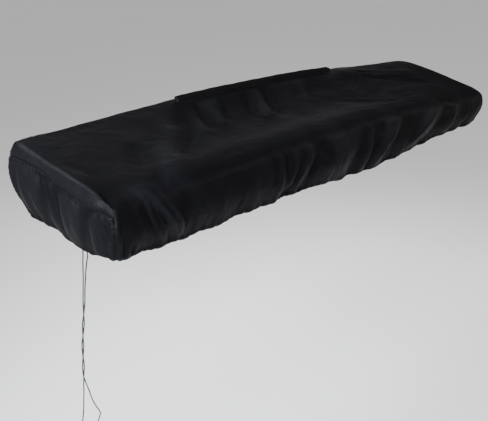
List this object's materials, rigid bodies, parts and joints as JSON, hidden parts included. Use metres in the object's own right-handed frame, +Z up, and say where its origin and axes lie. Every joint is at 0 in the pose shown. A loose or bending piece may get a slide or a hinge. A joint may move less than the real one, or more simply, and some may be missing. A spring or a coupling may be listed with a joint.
{
  "type": "piano cover",
  "caption": "Fitted nylon cover for a digital piano, in its worn shape: soft wedge top, short skirt with a gathered drawcord hem and a bound slot for a music rest.",
  "frame": {"origin": "under the middle of the top, where the cloth lies on the piano", "axes": "+X along the piano towards its right end, -Y towards the player, +Z up"},
  "size_m": [1.3749, 0.3055, 0.5993],
  "materials": {
    "nylon": "thin plain-woven black nylon with a satin sheen",
    "binding": "black woven binding tape, stitched",
    "cord": "matt black braided cord"
  },
  "bodies": {
    "root": {"main_panel": "nylon", "left_end_panel": "nylon", "right_end_panel": "nylon", "slot_binding": "binding", "near_cord": "cord", "near_cord_knot": "cord", "far_cord": "cord", "far_cord_knot": "cord"}
  },
  "joints": []
}
